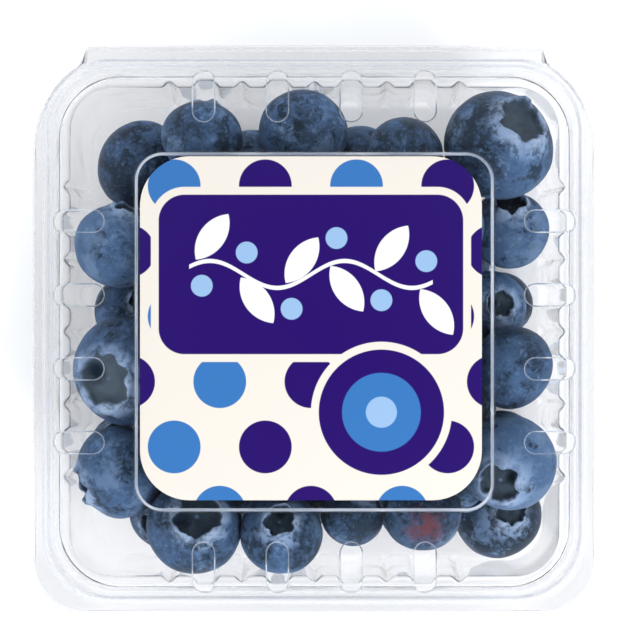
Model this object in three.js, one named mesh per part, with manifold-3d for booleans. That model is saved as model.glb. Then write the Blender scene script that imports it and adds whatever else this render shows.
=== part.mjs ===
// A shut, clear clamshell punnet of large blueberries, as sold by the grocer.
// Millimetres, +Z up. The punnet stands on z = 0, centred on the Z axis; its hinge is at +Y.
// tray and berries stay put, and lid and label swing about the hinge line at the back of the rim.
import * as THREE from "three";
import { mergeVertices } from "three/addons/utils/BufferGeometryUtils.js";
import Module from "manifold-3d";

const wasm = await Module();
wasm.setup();

// ---- Driving dimensions ----
const WALL = 0.6; // thickness of the formed sheet
const GAP = 0.3; // clearance between pieces that rest on each other
const ARC_STEPS = 5; // straight steps that make one rounded corner

const FLOOR_HALF = 45.5; // half the side of the tray's outside, at its floor
const MOUTH_HALF = 48.6; // and at its mouth
const TRAY_CORNER = 8.5;
const FLOOR_FILLET = 1.3;
const RIM_Z = 28.5; // top of the tray's flange

const FLUTE_PITCH = 14.3; // from one wide flute to the next, and from one vent to the next
const WIDE_FLUTE = { width: 6, depth: 1.4 };
const NARROW_FLUTE = { width: 3.4, depth: 1.1 };

const TRAY_RIM = { x: 55.5, front: 55.5, back: 55.5, rFront: 9.5, rBack: 20 };
const LID_RIM = { x: 54.9, front: 54.9, back: 55.5, rFront: 10.2, rBack: 20 };
const HINGE_HALF = 44.8; // half the length of the hinge

const DOME_FOOT = 51.3; // half the side of the lid's dome where it leaves the flange
const DOME_TOP = 49.4; // and at the edge of its deck
const DOME_CORNER = 12;
const DECK_RISE = 8.9; // from the tray's flange to the top of the deck
const DECK_FILLET = 0.4;
const PANEL_HALF = 34.9; // half the side of the raised panel at its foot
const PANEL_CORNER = 5;
const PANEL_RISE = 1.5;
const PANEL_LEAN = 0.8;

const BEAD = { start: 0.7, crest: 1.0, end: 1.4, stop: 1.7, rise: 0.8 }; // measured out from the dome's foot

const VENTS_PER_SIDE = 4;
const VENT_WIDTH = 4.25;
const VENT_INNER = 40.9; // from the middle of the lid to a vent's inner end
const VENT_OUTER = 51.1;

const LABEL = { width: 66, height: 66.4, corner: 9.6, thickness: 0.2, x: -0.65, y: 0.7 };

const CORE = { half: 36, corner: 8, low: 6, high: 28 }; // what fills the middle of the heap
const BERRY_SIDES = 11;
const SETTLE_STEPS = 260;
const SINK = 0.12; // how far a loose berry falls in one step
const HOLD = { across: 0.5, up: 0.1 }; // how firmly a held berry is drawn back to its place in one step

// The berries that lie round the label, clockwise from the hinge's left end, and those seen between
// them: x and y of the middle, radius, how far the top is under the lid, and where the crown points.
const HELD = [
  [-33.5, 33.4, 9.3, 11, [-0.6, 0.5, -0.6]],
  [-21.1, 36.6, 8.2, 0.4, [0.1, 0.9, -0.4]],
  [-12.2, 33.6, 8.6, 14, [0.2, 0.9, 0.2]],
  [-2.8, 37.7, 9.1, 0.3, [0.2, 0.7, -0.6]],
  [9.4, 33.4, 8.2, 13, [-0.2, 0.8, 0.3]],
  [16.9, 34.8, 7.7, 0.8, [-0.3, -0.9, 0.3]],
  [36.2, 36.2, 11.3, 0.2, [0.42, 0.44, 0.79]],
  [37.9, 19.3, 8.4, 12.6, [0, 0.75, 0.65]],
  [35.5, 5.3, 7.2, 9.2, [0.25, 0.05, 0.97]],
  [38.2, -7.2, 8.5, 0.5, [0.6, -0.5, -0.6]],
  [36.8, -24, 9.9, 0.3, [-0.26, -0.46, 0.85]],
  [36.8, -37.4, 9.2, 14.5, [0.3, 0.16, 0.94]],
  [20.3, -34.8, 7.9, 1.8, [0.1, -0.5, -0.85]],
  [7, -36.4, 6.4, 2.5, [0.3, 0.9, 0.3]],
  [-6.8, -39, 8.3, 0.5, [-0.05, 0.44, 0.9]],
  [-23.1, -37.2, 9.6, 0.3, [0.1, 0.35, 0.93]],
  [-31.2, -33.6, 8.1, 16, [-0.35, -0.35, 0.87]],
  [-37.4, -26.3, 9.5, 0.4, [-0.9, -0.35, 0.2]],
  [-37.2, -8, 10.4, 0.2, [-0.34, -0.16, 0.93]],
  [-36.5, 4.6, 7.4, 15, [0.5, 0.3, 0.8]],
  [-38, 16.7, 9.2, 0.5, [0.3, 0.9, 0.2]],
];
// The size of the berry under a held one, and how near the next held one it may lie, as a share of both radii.
const UNDER = { share: 0.93, least: 6.4, most: 8.8, near: 0.6 };
// The other berries before they settle: how many along X and Y, their spacing, height and size.
const LAYERS = [
  { rows: 3, spacing: 18.4, z: 9.4, radius: 8.4, spread: 0.8 },
  { rows: 3, spacing: 16.5, z: 19, radius: 7.6, spread: 0.6 },
  { rows: 3, spacing: 18.2, z: 29, radius: 8.5, spread: 0.8 },
];
const SCATTER = 1.5; // how far off its grid such a berry may start

// ---- Places worked out from them ----
const DECK_Z = RIM_Z + DECK_RISE;
const PANEL_Z = DECK_Z + PANEL_RISE;
const SEAT_Z = RIM_Z + GAP; // underside of the lid's flange
const FLANGE_Z = SEAT_Z + WALL; // top of the lid's flange
const FLOOR_Z = WALL + GAP; // the lowest that a berry may reach
const CEILING = DECK_Z - WALL - GAP; // and the highest

// ---- Outlines: closed loops of points, anticlockwise from above ----

/** The flutes along one side of the tray, as distances along the side with how far each point bulges out. */
function flutePoints() {
  const points = [];
  for (let place = -4; place <= 4; place += 1) {
    const at = (place * FLUTE_PITCH) / 2;
    const wide = Math.abs(place) % 2 === 1;
    const { width, depth } = wide ? WIDE_FLUTE : NARROW_FLUTE;
    points.push([at - width / 2, 0]);
    if (wide) points.push([at - width / 4, depth], [at + width / 4, depth]);
    else points.push([at, depth]);
    points.push([at + width / 2, 0]);
  }
  return points;
}

/** A rounded square at height z, whose front and back may lie at their own distances and radii. */
function outline({ x, front, back, rFront, rBack }, z, { fluted = false, hinged = false } = {}) {
  const corners = [
    { cx: x - rBack, cy: back - rBack, r: rBack, from: 0 },
    { cx: rBack - x, cy: back - rBack, r: rBack, from: Math.PI / 2 },
    { cx: rFront - x, cy: rFront - front, r: rFront, from: Math.PI },
    { cx: x - rFront, cy: rFront - front, r: rFront, from: (3 * Math.PI) / 2 },
  ];
  const sides = [
    (along, out) => [x + out, along],
    (along, out) => [-along, back + out],
    (along, out) => [-x - out, -along],
    (along, out) => [along, -front - out],
  ];
  const loop = [];
  corners.forEach(({ cx, cy, r, from }, side) => {
    if (fluted) loop.push(...flutePoints().map(([along, out]) => sides[side](along, out)));
    for (let step = 0; step <= ARC_STEPS; step += 1) {
      const angle = from + (step / ARC_STEPS) * (Math.PI / 2);
      loop.push([cx + r * Math.cos(angle), cy + r * Math.sin(angle)]);
    }
  });
  const shown = hinged ? squareTheHinge(loop, { x, back, rBack }) : loop;
  return shown.map(([px, py]) => new THREE.Vector3(px, py, z));
}

/** Cuts the back corners' arcs off at the ends of the hinge, whose strip runs straight at the back. */
function squareTheHinge(loop, { x, back, rBack }) {
  const behind = ([px, py]) => py > 0 && Math.abs(px) < HINGE_HALF;
  const reach = HINGE_HALF - (x - rBack);
  const notch = back - rBack + Math.sqrt(rBack * rBack - reach * reach);
  const kept = loop.filter((point) => !behind(point));
  const last = kept.findIndex(([px, py]) => py > 0 && px < 0);
  kept.splice(last, 0, [HINGE_HALF, notch], [HINGE_HALF, back], [-HINGE_HALF, back], [-HINGE_HALF, notch]);
  return kept;
}

/** A plain rounded square of one half side and one corner radius. */
function square(half, corner, z, options) {
  return outline({ x: half, front: half, back: half, rFront: corner, rBack: corner }, z, options);
}

// ---- Solids ----

/** The angles of a loop's points about the Z axis, growing all the way round and back to the first. */
function windings(loop) {
  const angles = [Math.atan2(loop[0].y, loop[0].x)];
  for (let i = 1; i <= loop.length; i += 1) {
    const { x, y } = loop[i % loop.length];
    let angle = Math.atan2(y, x);
    while (angle < angles[i - 1] - 1e-9) angle += 2 * Math.PI;
    angles.push(angle);
  }
  return angles;
}

/** Skins a run of loops, the first and the last of them capped, into one closed geometry. */
function skin(loops) {
  const positions = loops.flat().flatMap((point) => point.toArray());
  const index = [];
  let start = 0;
  for (let k = 0; k + 1 < loops.length; k += 1) {
    const [low, high] = [loops[k], loops[k + 1]];
    const [lowAngles, highAngles] = [windings(low), windings(high)];
    const next = start + low.length;
    let [i, j] = [0, 0];
    while (i < low.length || j < high.length) {
      const a = start + (i % low.length);
      const b = next + (j % high.length);
      const lowNext = low.length === high.length ? i <= j : lowAngles[i + 1] <= highAngles[j + 1];
      if (j === high.length || (i < low.length && lowNext)) {
        index.push(a, start + ((i + 1) % low.length), b);
        i += 1;
      } else {
        index.push(a, next + ((j + 1) % high.length), b);
        j += 1;
      }
    }
    start = next;
  }
  capTriangles(loops[0]).forEach(([a, b, c]) => index.push(a, c, b));
  capTriangles(loops.at(-1)).forEach(([a, b, c]) => index.push(start + a, start + b, start + c));
  const geometry = new THREE.BufferGeometry();
  geometry.setAttribute("position", new THREE.Float32BufferAttribute(positions, 3));
  geometry.setIndex(index);
  return geometry;
}

/** Triangles across a flat loop, anticlockwise from above. */
function capTriangles(loop) {
  return THREE.ShapeUtils.triangulateShape(
    loop.map(({ x, y }) => new THREE.Vector2(x, y)),
    [],
  );
}

/** A closed geometry as a manifold-3d solid. */
function toSolid(geometry) {
  const bare = geometry.clone();
  bare.deleteAttribute("normal");
  bare.deleteAttribute("uv");
  const merged = mergeVertices(bare, 1e-4);
  const faces = [];
  const corners = merged.index.array;
  for (let i = 0; i < corners.length; i += 3) {
    const [a, b, c] = corners.slice(i, i + 3);
    if (a !== b && b !== c && c !== a) faces.push(a, b, c);
  }
  const vertProperties = new Float32Array(merged.attributes.position.array);
  return new wasm.Manifold(
    new wasm.Mesh({ numProp: 3, vertProperties, triVerts: new Uint32Array(faces) }),
  );
}

/** A manifold-3d solid as geometry, without sealed hollows and loose scraps: its largest shell alone. */
function toGeometry(solid) {
  const { vertProperties, triVerts, numProp } = solid.getMesh();
  const parent = Array.from({ length: vertProperties.length / numProp }, (_, i) => i);
  const root = (i) => {
    let top = i;
    while (parent[top] !== top) top = parent[top];
    parent[i] = top;
    return top;
  };
  for (let i = 0; i < triVerts.length; i += 3) {
    parent[root(triVerts[i + 1])] = root(triVerts[i]);
    parent[root(triVerts[i + 2])] = root(triVerts[i]);
  }
  const shells = new Map();
  for (let i = 0; i < triVerts.length; i += 3) {
    const shell = root(triVerts[i]);
    if (!shells.has(shell)) shells.set(shell, []);
    shells.get(shell).push(triVerts[i], triVerts[i + 1], triVerts[i + 2]);
  }
  const largest = [...shells.values()].sort((a, b) => b.length - a.length)[0];
  const points = [];
  for (let i = 0; i < vertProperties.length; i += numProp) {
    points.push(vertProperties[i], vertProperties[i + 1], vertProperties[i + 2]);
  }
  const geometry = new THREE.BufferGeometry();
  geometry.setAttribute("position", new THREE.Float32BufferAttribute(points, 3));
  geometry.setIndex(largest);
  return geometry;
}

/** Names a geometry's mesh and gives it its material. */
function node(name, geometry, material) {
  const mesh = new THREE.Mesh(geometry, material);
  mesh.name = name;
  return mesh;
}

// ---- The tray ----

/** An outline that runs round the dome's foot at a distance, such as an edge of the bead. */
function aroundDome(distance, z) {
  return square(DOME_FOOT + distance, DOME_CORNER + distance, z);
}

function trayGeometry() {
  const fluted = { fluted: true };
  const hinged = { hinged: true };
  return skin([
    square(FLOOR_HALF - FLOOR_FILLET, TRAY_CORNER - FLOOR_FILLET, 0),
    square(FLOOR_HALF, TRAY_CORNER, FLOOR_FILLET, fluted),
    square(MOUTH_HALF, TRAY_CORNER, RIM_Z - WALL, fluted),
    outline(TRAY_RIM, RIM_Z - WALL, hinged),
    outline(TRAY_RIM, RIM_Z, hinged),
    aroundDome(BEAD.stop, RIM_Z),
    aroundDome(BEAD.end, RIM_Z + BEAD.rise),
    aroundDome(BEAD.crest, RIM_Z + BEAD.rise),
    aroundDome(BEAD.start, RIM_Z),
    square(MOUTH_HALF - WALL, TRAY_CORNER - WALL, RIM_Z, fluted),
    square(FLOOR_HALF - WALL, TRAY_CORNER - WALL, FLOOR_FILLET + WALL / 2, fluted),
    square(FLOOR_HALF - FLOOR_FILLET - WALL / 2, TRAY_CORNER - FLOOR_FILLET, WALL),
  ]);
}

// ---- The lid ----

/** The lid's sheet before its vents are cut: its inside from the panel out, then its outside back. */
function lidSheet() {
  const hinged = { hinged: true };
  const bead = BEAD.rise + GAP;
  return skin([
    square(PANEL_HALF - PANEL_LEAN - WALL, PANEL_CORNER, PANEL_Z - WALL),
    square(PANEL_HALF - WALL, PANEL_CORNER, DECK_Z - WALL),
    square(DOME_TOP - WALL, DOME_CORNER - WALL, DECK_Z - WALL),
    square(DOME_FOOT - WALL, DOME_CORNER - WALL, SEAT_Z),
    aroundDome(BEAD.start - GAP, SEAT_Z),
    aroundDome(BEAD.crest - GAP, RIM_Z + bead),
    aroundDome(BEAD.end + GAP, RIM_Z + bead),
    aroundDome(BEAD.stop + GAP, SEAT_Z),
    outline(LID_RIM, SEAT_Z, hinged),
    outline(LID_RIM, FLANGE_Z, hinged),
    aroundDome(BEAD.stop + GAP, FLANGE_Z),
    aroundDome(BEAD.end + GAP, RIM_Z + bead + WALL),
    aroundDome(BEAD.crest - GAP, RIM_Z + bead + WALL),
    aroundDome(BEAD.start - GAP, FLANGE_Z),
    square(DOME_FOOT, DOME_CORNER, FLANGE_Z),
    square(DOME_TOP, DOME_CORNER, DECK_Z - DECK_FILLET),
    square(DOME_TOP - DECK_FILLET, DOME_CORNER, DECK_Z),
    square(PANEL_HALF, PANEL_CORNER + WALL, DECK_Z),
    square(PANEL_HALF - PANEL_LEAN, PANEL_CORNER, PANEL_Z),
  ]);
}

/** One round-ended cutter, which opens the deck and the dome's side at once. */
function ventCutter(side, place) {
  const radius = VENT_WIDTH / 2;
  const shape = new THREE.Shape();
  shape.absarc(VENT_OUTER - radius, 0, radius, -Math.PI / 2, Math.PI / 2);
  shape.absarc(VENT_INNER + radius, 0, radius, Math.PI / 2, (3 * Math.PI) / 2);
  const geometry = new THREE.ExtrudeGeometry(shape, { depth: DECK_RISE + 2, bevelEnabled: false, curveSegments: 3 });
  const along = (place - (VENTS_PER_SIDE - 1) / 2) * FLUTE_PITCH;
  geometry.translate(0, along, FLANGE_Z + 2 * GAP);
  geometry.rotateZ((side * Math.PI) / 2);
  return toSolid(geometry);
}

function lidGeometry() {
  let lid = toSolid(lidSheet());
  for (let side = 0; side < 4; side += 1) {
    for (let place = 0; place < VENTS_PER_SIDE; place += 1) lid = lid.subtract(ventCutter(side, place));
  }
  return toGeometry(lid);
}

// ---- The label ----

function labelGeometry() {
  const { width, height, corner, thickness, x, y } = LABEL;
  const shape = { x: width / 2, front: height / 2, back: height / 2, rFront: corner, rBack: corner };
  const bottom = PANEL_Z + GAP;
  return skin([outline(shape, bottom), outline(shape, bottom + thickness)]).translate(x, y, 0);
}

// ---- The berries ----

/** A run of numbers from 0 to 1 that is the same each time. */
function* chances(seed) {
  let state = seed;
  while (true) {
    state = (state * 16807) % 2147483647;
    yield state / 2147483647;
  }
}

/** Half the room between the tray's walls at a height. */
function roomAt(z) {
  const up = Math.min(Math.max(z / RIM_Z, 0), 1);
  return FLOOR_HALF + (MOUTH_HALF - FLOOR_HALF) * up - WALL - GAP;
}

/** How far a place lies from a berry's middle. */
function distance([px, py, pz], { x, y, z }) {
  return Math.sqrt((px - x) * (px - x) + (py - y) * (py - y) + (pz - z) * (pz - z));
}

/** All the berries before they settle: the held ones, those right under them, and the loose ones. */
function looseBerries() {
  const chance = chances(20);
  const draw = (size) => (chance.next().value * 2 - 1) * size;
  const held = HELD.map(([x, y, r, sunk, crown]) => {
    const z = CEILING - sunk - r;
    return { x, y, z, r, crown, home: [x, y, z] };
  });
  const under = [];
  for (const { x, y, z, r } of held) {
    const room = z - r - FLOOR_Z;
    const size = Math.min(UNDER.share * r, room / 2, UNDER.most);
    const home = [x, y, FLOOR_Z + size];
    const crowded = held.some((other) => distance(home, other) < UNDER.near * (size + other.r));
    if (size < UNDER.least || crowded) continue;
    under.push({ x, y, z: home[2], r: size, crown: [draw(1), draw(1), draw(1)], home });
  }
  const loose = [];
  for (const { rows, spacing, z, radius, spread } of LAYERS) {
    for (let place = 0; place < rows * rows; place += 1) {
      const x = ((place % rows) - (rows - 1) / 2) * spacing + draw(SCATTER);
      const y = (Math.floor(place / rows) - (rows - 1) / 2) * spacing + draw(SCATTER);
      const r = radius + draw(spread);
      const crown = [draw(1), draw(1), draw(1)];
      loose.push({ x, y, z, r, crown, home: null });
    }
  }
  return [...held, ...under, ...loose];
}

/** Moves two berries that overlap apart, each by half. */
function part(a, b) {
  const apart = distance([a.x, a.y, a.z], b);
  const overlap = a.r + b.r - apart;
  if (overlap <= 0) return;
  for (const axis of ["x", "y", "z"]) {
    const push = (0.5 * overlap * (b[axis] - a[axis])) / apart;
    a[axis] -= push;
    b[axis] += push;
  }
}

/** Lets the berries settle: they sink, push each other apart and stay between the walls, floor and deck. */
function settledBerries() {
  const berries = looseBerries();
  for (let step = 0; step < SETTLE_STEPS; step += 1) {
    for (const berry of berries) {
      if (berry.home === null) {
        berry.z -= SINK;
      } else {
        berry.x += (berry.home[0] - berry.x) * HOLD.across;
        berry.y += (berry.home[1] - berry.y) * HOLD.across;
        berry.z += (berry.home[2] - berry.z) * HOLD.up;
      }
    }
    for (let i = 0; i < berries.length; i += 1) {
      for (let j = i + 1; j < berries.length; j += 1) part(berries[i], berries[j]);
    }
    for (const berry of berries) {
      berry.z = Math.min(Math.max(berry.z, FLOOR_Z + berry.r), CEILING - berry.r);
      const room = roomAt(berry.z) - berry.r;
      berry.x = Math.min(Math.max(berry.x, -room), room);
      berry.y = Math.min(Math.max(berry.y, -room), room);
    }
  }
  return berries;
}

/** One berry of unit radius, its crown's rim and hollow up. */
function berryGeometry() {
  const section = [
    [0, -0.9],
    [0.52, -0.76],
    [0.88, -0.38],
    [0.995, 0.05],
    [0.84, 0.48],
    [0.46, 0.8],
    [0.38, 0.93],
    [0.25, 0.74],
    [0, 0.7],
  ];
  const profile = section.map(([across, up]) => new THREE.Vector2(across, up));
  return new THREE.LatheGeometry(profile, BERRY_SIDES).rotateX(Math.PI / 2);
}

/** The heap: a core with every berry fused to it. */
function berriesGeometry() {
  const up = new THREE.Vector3(0, 0, 1);
  let heap = toSolid(skin([square(CORE.half, CORE.corner, CORE.low), square(CORE.half, CORE.corner, CORE.high)]));
  for (const { x, y, z, r, crown } of settledBerries()) {
    const turn = new THREE.Quaternion().setFromUnitVectors(up, new THREE.Vector3(...crown).normalize());
    const place = new THREE.Matrix4().compose(new THREE.Vector3(x, y, z), turn, new THREE.Vector3(r, r, r));
    heap = heap.add(toSolid(berryGeometry().applyMatrix4(place)));
  }
  return toGeometry(heap);
}

// ---- The assembly ----

const clear = new THREE.MeshStandardMaterial({ color: "#eef1f4", roughness: 0.08, transparent: true, opacity: 0.35 });
const skinBlue = new THREE.MeshStandardMaterial({ color: "#3b4c6b", roughness: 0.55 });
const paper = new THREE.MeshStandardMaterial({ color: "#fff6ec", roughness: 0.45 });

const punnet = new THREE.Group();
punnet.add(node("tray", trayGeometry(), clear));
punnet.add(node("berries", berriesGeometry(), skinBlue));
punnet.add(node("lid", lidGeometry(), clear.clone()));
punnet.add(node("label", labelGeometry(), paper));

export default punnet;
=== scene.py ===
"""A shut, clear clamshell punnet of large blueberries with a printed sticker on its lid.

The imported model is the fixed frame. This script dresses it: the tray and the lid become thin formed
sheets, the heap becomes single berries with crowns and bloom, the label gets its print, and a thin film
joins the two sheets along the hinge. Sizes are in millimetres until a piece is finished.
"""

from __future__ import annotations

import logging
import math
from dataclasses import dataclass
from enum import Enum, IntEnum
from typing import Callable, Iterator, Sequence

import bmesh
import bpy
import numpy as np
from mathutils import Matrix, Vector, noise

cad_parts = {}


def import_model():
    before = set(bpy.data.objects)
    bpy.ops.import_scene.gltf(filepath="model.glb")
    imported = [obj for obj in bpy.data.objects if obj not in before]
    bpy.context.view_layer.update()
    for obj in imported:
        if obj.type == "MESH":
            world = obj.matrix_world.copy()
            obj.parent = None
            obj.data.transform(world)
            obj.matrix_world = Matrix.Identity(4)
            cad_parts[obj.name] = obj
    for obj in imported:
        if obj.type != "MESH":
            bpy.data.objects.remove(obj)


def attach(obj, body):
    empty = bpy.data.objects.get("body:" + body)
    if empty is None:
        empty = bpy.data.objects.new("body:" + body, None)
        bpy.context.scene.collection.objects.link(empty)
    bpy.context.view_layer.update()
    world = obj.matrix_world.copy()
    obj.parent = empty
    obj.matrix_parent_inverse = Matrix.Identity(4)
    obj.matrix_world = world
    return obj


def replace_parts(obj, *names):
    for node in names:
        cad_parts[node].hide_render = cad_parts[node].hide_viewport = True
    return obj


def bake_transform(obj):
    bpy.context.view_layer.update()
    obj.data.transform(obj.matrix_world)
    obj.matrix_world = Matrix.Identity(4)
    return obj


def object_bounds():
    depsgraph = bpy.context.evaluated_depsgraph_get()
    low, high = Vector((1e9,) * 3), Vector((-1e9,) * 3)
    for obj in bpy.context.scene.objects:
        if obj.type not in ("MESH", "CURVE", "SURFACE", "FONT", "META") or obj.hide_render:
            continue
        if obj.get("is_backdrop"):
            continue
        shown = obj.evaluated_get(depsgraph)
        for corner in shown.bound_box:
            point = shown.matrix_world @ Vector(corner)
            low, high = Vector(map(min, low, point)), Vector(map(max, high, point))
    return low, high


BMesh, BMFace, BMVert = bmesh.types.BMesh, bmesh.types.BMFace, bmesh.types.BMVert
Object, Material, Socket = bpy.types.Object, bpy.types.Material, bpy.types.NodeSocket
Colour = Point = tuple[float, float, float]
Span = tuple[float, float]
Cloud = tuple[float, float, float]  # of noise: its scale, detail and roughness

log = logging.getLogger("punnet")

MM = 0.001
SHARP = 40.0  # the angle in degrees up to which formed plastic is shaded smooth


class Body(Enum):
    """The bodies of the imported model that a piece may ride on."""

    TRAY = "tray"
    LID = "lid"


class Slot(Enum):
    """The record's material slots."""

    TRAY = "clear_tray"
    LID = "clear_lid"
    BERRY = "berry_skin"
    LABEL = "label_print"


class Plastic(IntEnum):
    """A formed sheet's finishes, in the order of its materials."""

    CLEAR = 0
    # the bends: hazier, with a pale share that is a painted highlight
    BEND_HIGHLIGHT = 1
    # the panel's low wall: pale bluish white, a painted highlight
    PANEL_HIGHLIGHT = 2
    # the vents' cut edges: pale bluish white, a painted highlight
    CUT = 3
    # the rolled vent edges and the crease: darker grey, painted shade
    ROLLED = 4


class Side(IntEnum):
    """The label's sides, in the order of its materials."""

    PRINT = 0
    BACK = 1


# ---- Lines round the punnet ----


@dataclass(frozen=True)
class Flutes:
    """The upright flutes that stiffen the tray's wall, wide ones at the vents and narrow ones between."""

    pitch: float = 14.3
    wide: Span = (6.0, 1.4)  # how wide and how deep
    narrow: Span = (3.4, 1.1)
    wide_flat: float = 0.4

    def bulge(self, along: float) -> float:
        """How far the wall stands out at a distance along its side from the middle."""
        out = 0.0
        for place in range(-4, 5):
            (width, depth), flat = (self.wide, self.wide_flat) if place % 2 else (self.narrow, 0.0)
            off = abs(along - place * self.pitch / 2) / (width / 2)
            if off < 1:
                out += depth * (0.5 + 0.5 * math.cos(math.pi * max(off - flat, 0.0) / (1 - flat)))
        return out


@dataclass(frozen=True)
class Outline:
    """A rounded square round the Z axis, whose front and back corners may differ."""

    x: float
    front: float
    back: float
    r_front: float
    r_back: float
    flutes: Flutes | None = None
    hinge_half: float | None = None

    @staticmethod
    def square(half: float, corner: float, flutes: Flutes | None = None) -> Outline:
        """A plain rounded square of one half side and one corner radius."""
        return Outline(half, half, half, corner, corner, flutes)

    def line(self, z: float, stations: Sequence[float], arc_steps: int) -> np.ndarray:
        """The outline's points at a height, anticlockwise from above.

        Args:
            z: the height.
            stations: places along each straight side, from its middle.
            arc_steps: how many straight steps make one corner.
        Returns:
            An array of points, as many for each outline of the same stations and steps.
        """
        corners = (
            (self.x - self.r_back, self.back - self.r_back, self.r_back),
            (self.r_back - self.x, self.back - self.r_back, self.r_back),
            (self.r_front - self.x, self.r_front - self.front, self.r_front),
            (self.x - self.r_front, self.r_front - self.front, self.r_front),
        )
        points: list[Point] = []
        for side, (cx, cy, radius) in enumerate(corners):
            for along in stations:
                out = self.flutes.bulge(along) if self.flutes else 0.0
                right, back, front = self.x + out, self.back + out, -self.front - out
                places = ((right, along, z), (-along, back, z), (-right, -along, z), (along, front, z))
                points.append(places[side])
            arc = [side * math.pi / 2 + k / arc_steps * math.pi / 2 for k in range(arc_steps + 1)]
            corner = [(cx + radius * math.cos(a), cy + radius * math.sin(a), z) for a in arc]
            if self.hinge_half is not None and side < 2:
                corner = self._squared(corner, side)
            points.extend(corner)
        return np.array(points)

    def _squared(self, corner: list[Point], side: int) -> list[Point]:
        """A back corner whose end at the hinge runs straight, as the hinge's strip does."""
        half = self.hinge_half
        inside = [k for k, point in enumerate(corner) if abs(point[0]) < half]
        squared = [(x, self.back, z) if abs(x) < half else (x, y, z) for x, y, z in corner]
        hinge_end = inside[0] if side == 0 else inside[-1]
        squared[hinge_end] = (half if side == 0 else -half, self.back, corner[0][2])
        return squared


# ---- Mesh tools ----


def step(value: float, low: float, high: float) -> float:
    """How far a value is from low to high, held between 0 and 1."""
    return min(max((value - low) / (high - low), 0.0), 1.0)


def toward(here: np.ndarray, there: np.ndarray, distance: float, most: float) -> np.ndarray:
    """Points that lie a distance from one line towards another, at most a share of the way."""
    gap = np.linalg.norm(there - here, axis=1, keepdims=True)
    return here + (there - here) * np.minimum(distance / np.maximum(gap, 1e-6), most)


def rounded_run(lines: Sequence[np.ndarray], bends: Sequence[float]) -> list[np.ndarray]:
    """Rounds the sheet where it turns at each inner key line, and keeps the flats beside it flat.

    Args:
        lines: the key lines, whose points match from line to line.
        bends: how far from each inner key line its rounding starts.
    Returns:
        Every line of the sheet, in order.
    """
    steps, hold, bend_share, hold_share = 6, 0.14, 0.36, 0.46
    run = [lines[0]]
    for before, here, after, bend in zip(lines, lines[1:], lines[2:], bends):
        start, end = toward(here, before, bend, bend_share), toward(here, after, bend, bend_share)
        run.append(toward(here, before, bend + hold, hold_share))
        for t in (k / steps for k in range(steps + 1)):
            run.append((1 - t) ** 2 * start + 2 * t * (1 - t) * here + t * t * end)
        run.append(toward(here, after, bend + hold, hold_share))
    return [*run, lines[-1]]


def lofted(run: Sequence[np.ndarray]) -> BMesh:
    """Draws a closed line out through a run of lines into one sheet, and closes its middle.

    Args:
        run: lines of equally many points, from the middle of the sheet to its rim.
    Returns:
        The sheet without thickness.
    """
    bm = bmesh.new()
    verts = [bm.verts.new(point) for point in run[0]]
    count = len(verts)
    edges = [bm.edges.new((verts[i], verts[(i + 1) % count])) for i in range(count)]
    bm.faces.new(verts)
    for line in run[1:]:
        made = bmesh.ops.extrude_edge_only(bm, edges=edges)["geom"]
        fresh = {v for v in made if isinstance(v, BMVert)}
        verts = [next(e.other_vert(v) for e in v.link_edges if e.other_vert(v) in fresh) for v in verts]
        for vert, point in zip(verts, line):
            vert.co = point
        edges = [bm.edges.get((verts[i], verts[(i + 1) % count])) for i in range(count)]
    return bm


def thickened(bm: BMesh, thickness: float, outward_z: float) -> None:
    """Gives a sheet its thickness, inward from the side that was drawn.

    Args:
        bm: the sheet, whose middle is flat.
        thickness: the sheet's thickness.
        outward_z: the sign of Z on the outside of the sheet's middle.
    """
    bmesh.ops.recalc_face_normals(bm, faces=bm.faces)
    bm.faces.ensure_lookup_table()
    if bm.faces[0].normal.z * outward_z < 0:
        bmesh.ops.reverse_faces(bm, faces=bm.faces)
    bm.normal_update()
    most = 1.6  # keeps the sheet from spiking where it turns sharply
    inner = [vert.co - vert.normal * thickness * min(vert.calc_shell_factor(), most) for vert in bm.verts]
    rims = [edge for edge in bm.edges if edge.is_boundary]
    drawn = bm.verts[:]
    made = bmesh.ops.duplicate(bm, geom=[*bm.verts, *bm.edges, *bm.faces])
    twin = made["vert_map"]
    for vert, place in zip(drawn, inner):
        twin[vert].co = place
    bmesh.ops.reverse_faces(bm, faces=[item for item in made["geom"] if isinstance(item, BMFace)])
    for edge in rims:
        start, end = edge.verts
        bm.faces.new((start, end, twin[end], twin[start]))
    bmesh.ops.recalc_face_normals(bm, faces=bm.faces)
    bm.normal_update()


def tube(bm: BMesh, path: Sequence[Vector], radius: float, sides: int = 8) -> list[BMFace]:
    """Draws a closed tube along a path.

    Args:
        bm: the mesh to add it to.
        path: the tube's middle line.
        radius: the tube's radius.
        sides: how many sides it has.
    Returns:
        The tube's faces.
    """
    rings = []
    for k, point in enumerate(path):
        way = (path[min(k + 1, len(path) - 1)] - path[max(k - 1, 0)]).normalized()
        across = (across - way * across.dot(way) if rings else way.orthogonal()).normalized()
        up = way.cross(across)
        turns = [2 * math.pi * n / sides for n in range(sides)]
        ring = [point + radius * (math.cos(a) * across + math.sin(a) * up) for a in turns]
        rings.append([bm.verts.new(place) for place in ring])
    faces = [bm.faces.new(rings[0][::-1]), bm.faces.new(rings[-1])]
    for first, second in zip(rings, rings[1:]):
        for n in range(sides):
            m = (n + 1) % sides
            faces.append(bm.faces.new((first[n], first[m], second[m], second[n])))
    return faces


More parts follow.
